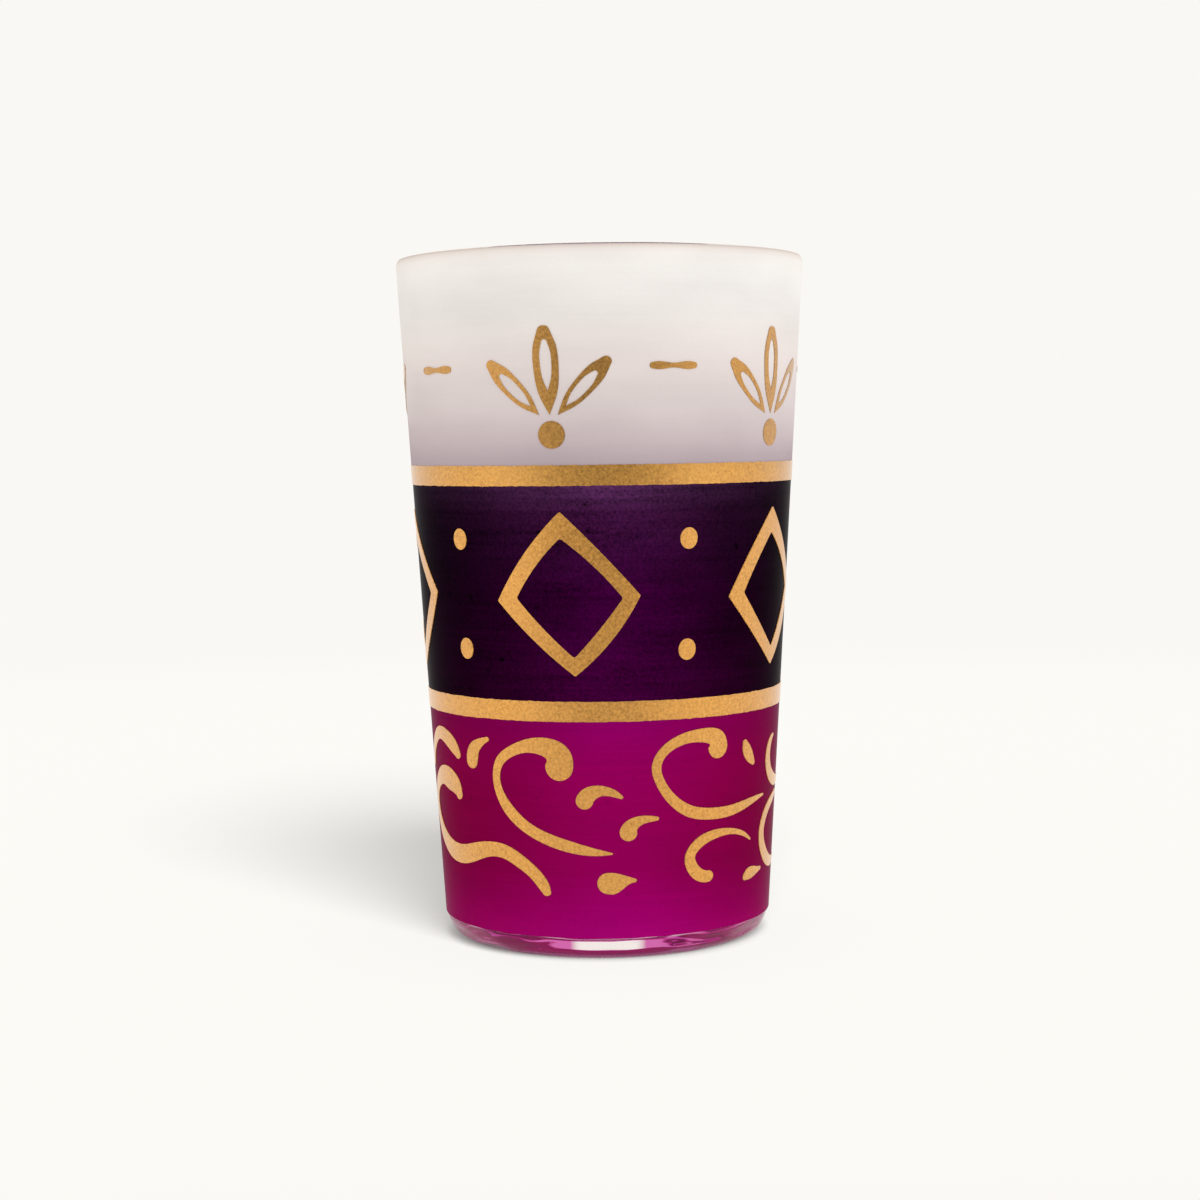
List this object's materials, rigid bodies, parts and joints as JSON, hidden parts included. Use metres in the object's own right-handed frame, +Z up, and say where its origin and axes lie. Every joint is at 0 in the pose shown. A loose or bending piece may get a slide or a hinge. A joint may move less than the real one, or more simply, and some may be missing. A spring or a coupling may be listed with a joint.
{
  "type": "tea glass",
  "caption": "Conical pressed-glass tea tumbler with frosted, purple and magenta coats and gold bands, leaf sprigs, diamonds and scrolls, standing on a flat foot ring.",
  "frame": {"origin": "centre of the foot ring's resting plane", "axes": "+Z up the axis of the glass, -Y towards the front of the ornament"},
  "size_m": [0.054, 0.054, 0.09],
  "materials": {
    "clear_glass": "clear, fire-polished",
    "frosted_white": "satin frosted",
    "purple_enamel": "translucent gloss",
    "magenta_enamel": "translucent gloss",
    "gold_print": "satin gold"
  },
  "bodies": {
    "root": {"frosted_coat": "frosted_white", "glass_body": "clear_glass", "gold_big_scroll_1": "gold_print", "gold_big_scroll_2": "gold_print", "gold_commas_1": "gold_print", "gold_commas_2": "gold_print", "gold_curl_scroll_1": "gold_print", "gold_curl_scroll_2": "gold_print", "gold_dash_1": "gold_print", "gold_dash_2": "gold_print", "gold_dash_3": "gold_print", "gold_dash_4": "gold_print", "gold_dash_5": "gold_print", "gold_diamond_1": "gold_print", "gold_diamond_2": "gold_print", "gold_diamond_3": "gold_print", "gold_diamond_4": "gold_print", "gold_diamond_5": "gold_print", "gold_dots_1": "gold_print", "gold_dots_2": "gold_print", "gold_dots_3": "gold_print", "gold_dots_4": "gold_print", "gold_dots_5": "gold_print", "gold_drops_1": "gold_print", "gold_drops_2": "gold_print", "gold_hook_scroll_1": "gold_print", "gold_hook_scroll_2": "gold_print", "gold_side_arcs_1": "gold_print", "gold_side_arcs_2": "gold_print", "gold_small_scroll_1": "gold_print", "gold_small_scroll_2": "gold_print", "gold_sprig_1": "gold_print", "gold_sprig_2": "gold_print", "gold_sprig_3": "gold_print", "gold_sprig_4": "gold_print", "gold_sprig_5": "gold_print", "gold_wave_scroll_1": "gold_print", "gold_wave_scroll_2": "gold_print", "lower_gold_band": "gold_print", "magenta_coat": "magenta_enamel", "purple_coat": "purple_enamel", "upper_gold_band": "gold_print"}
  },
  "joints": []
}
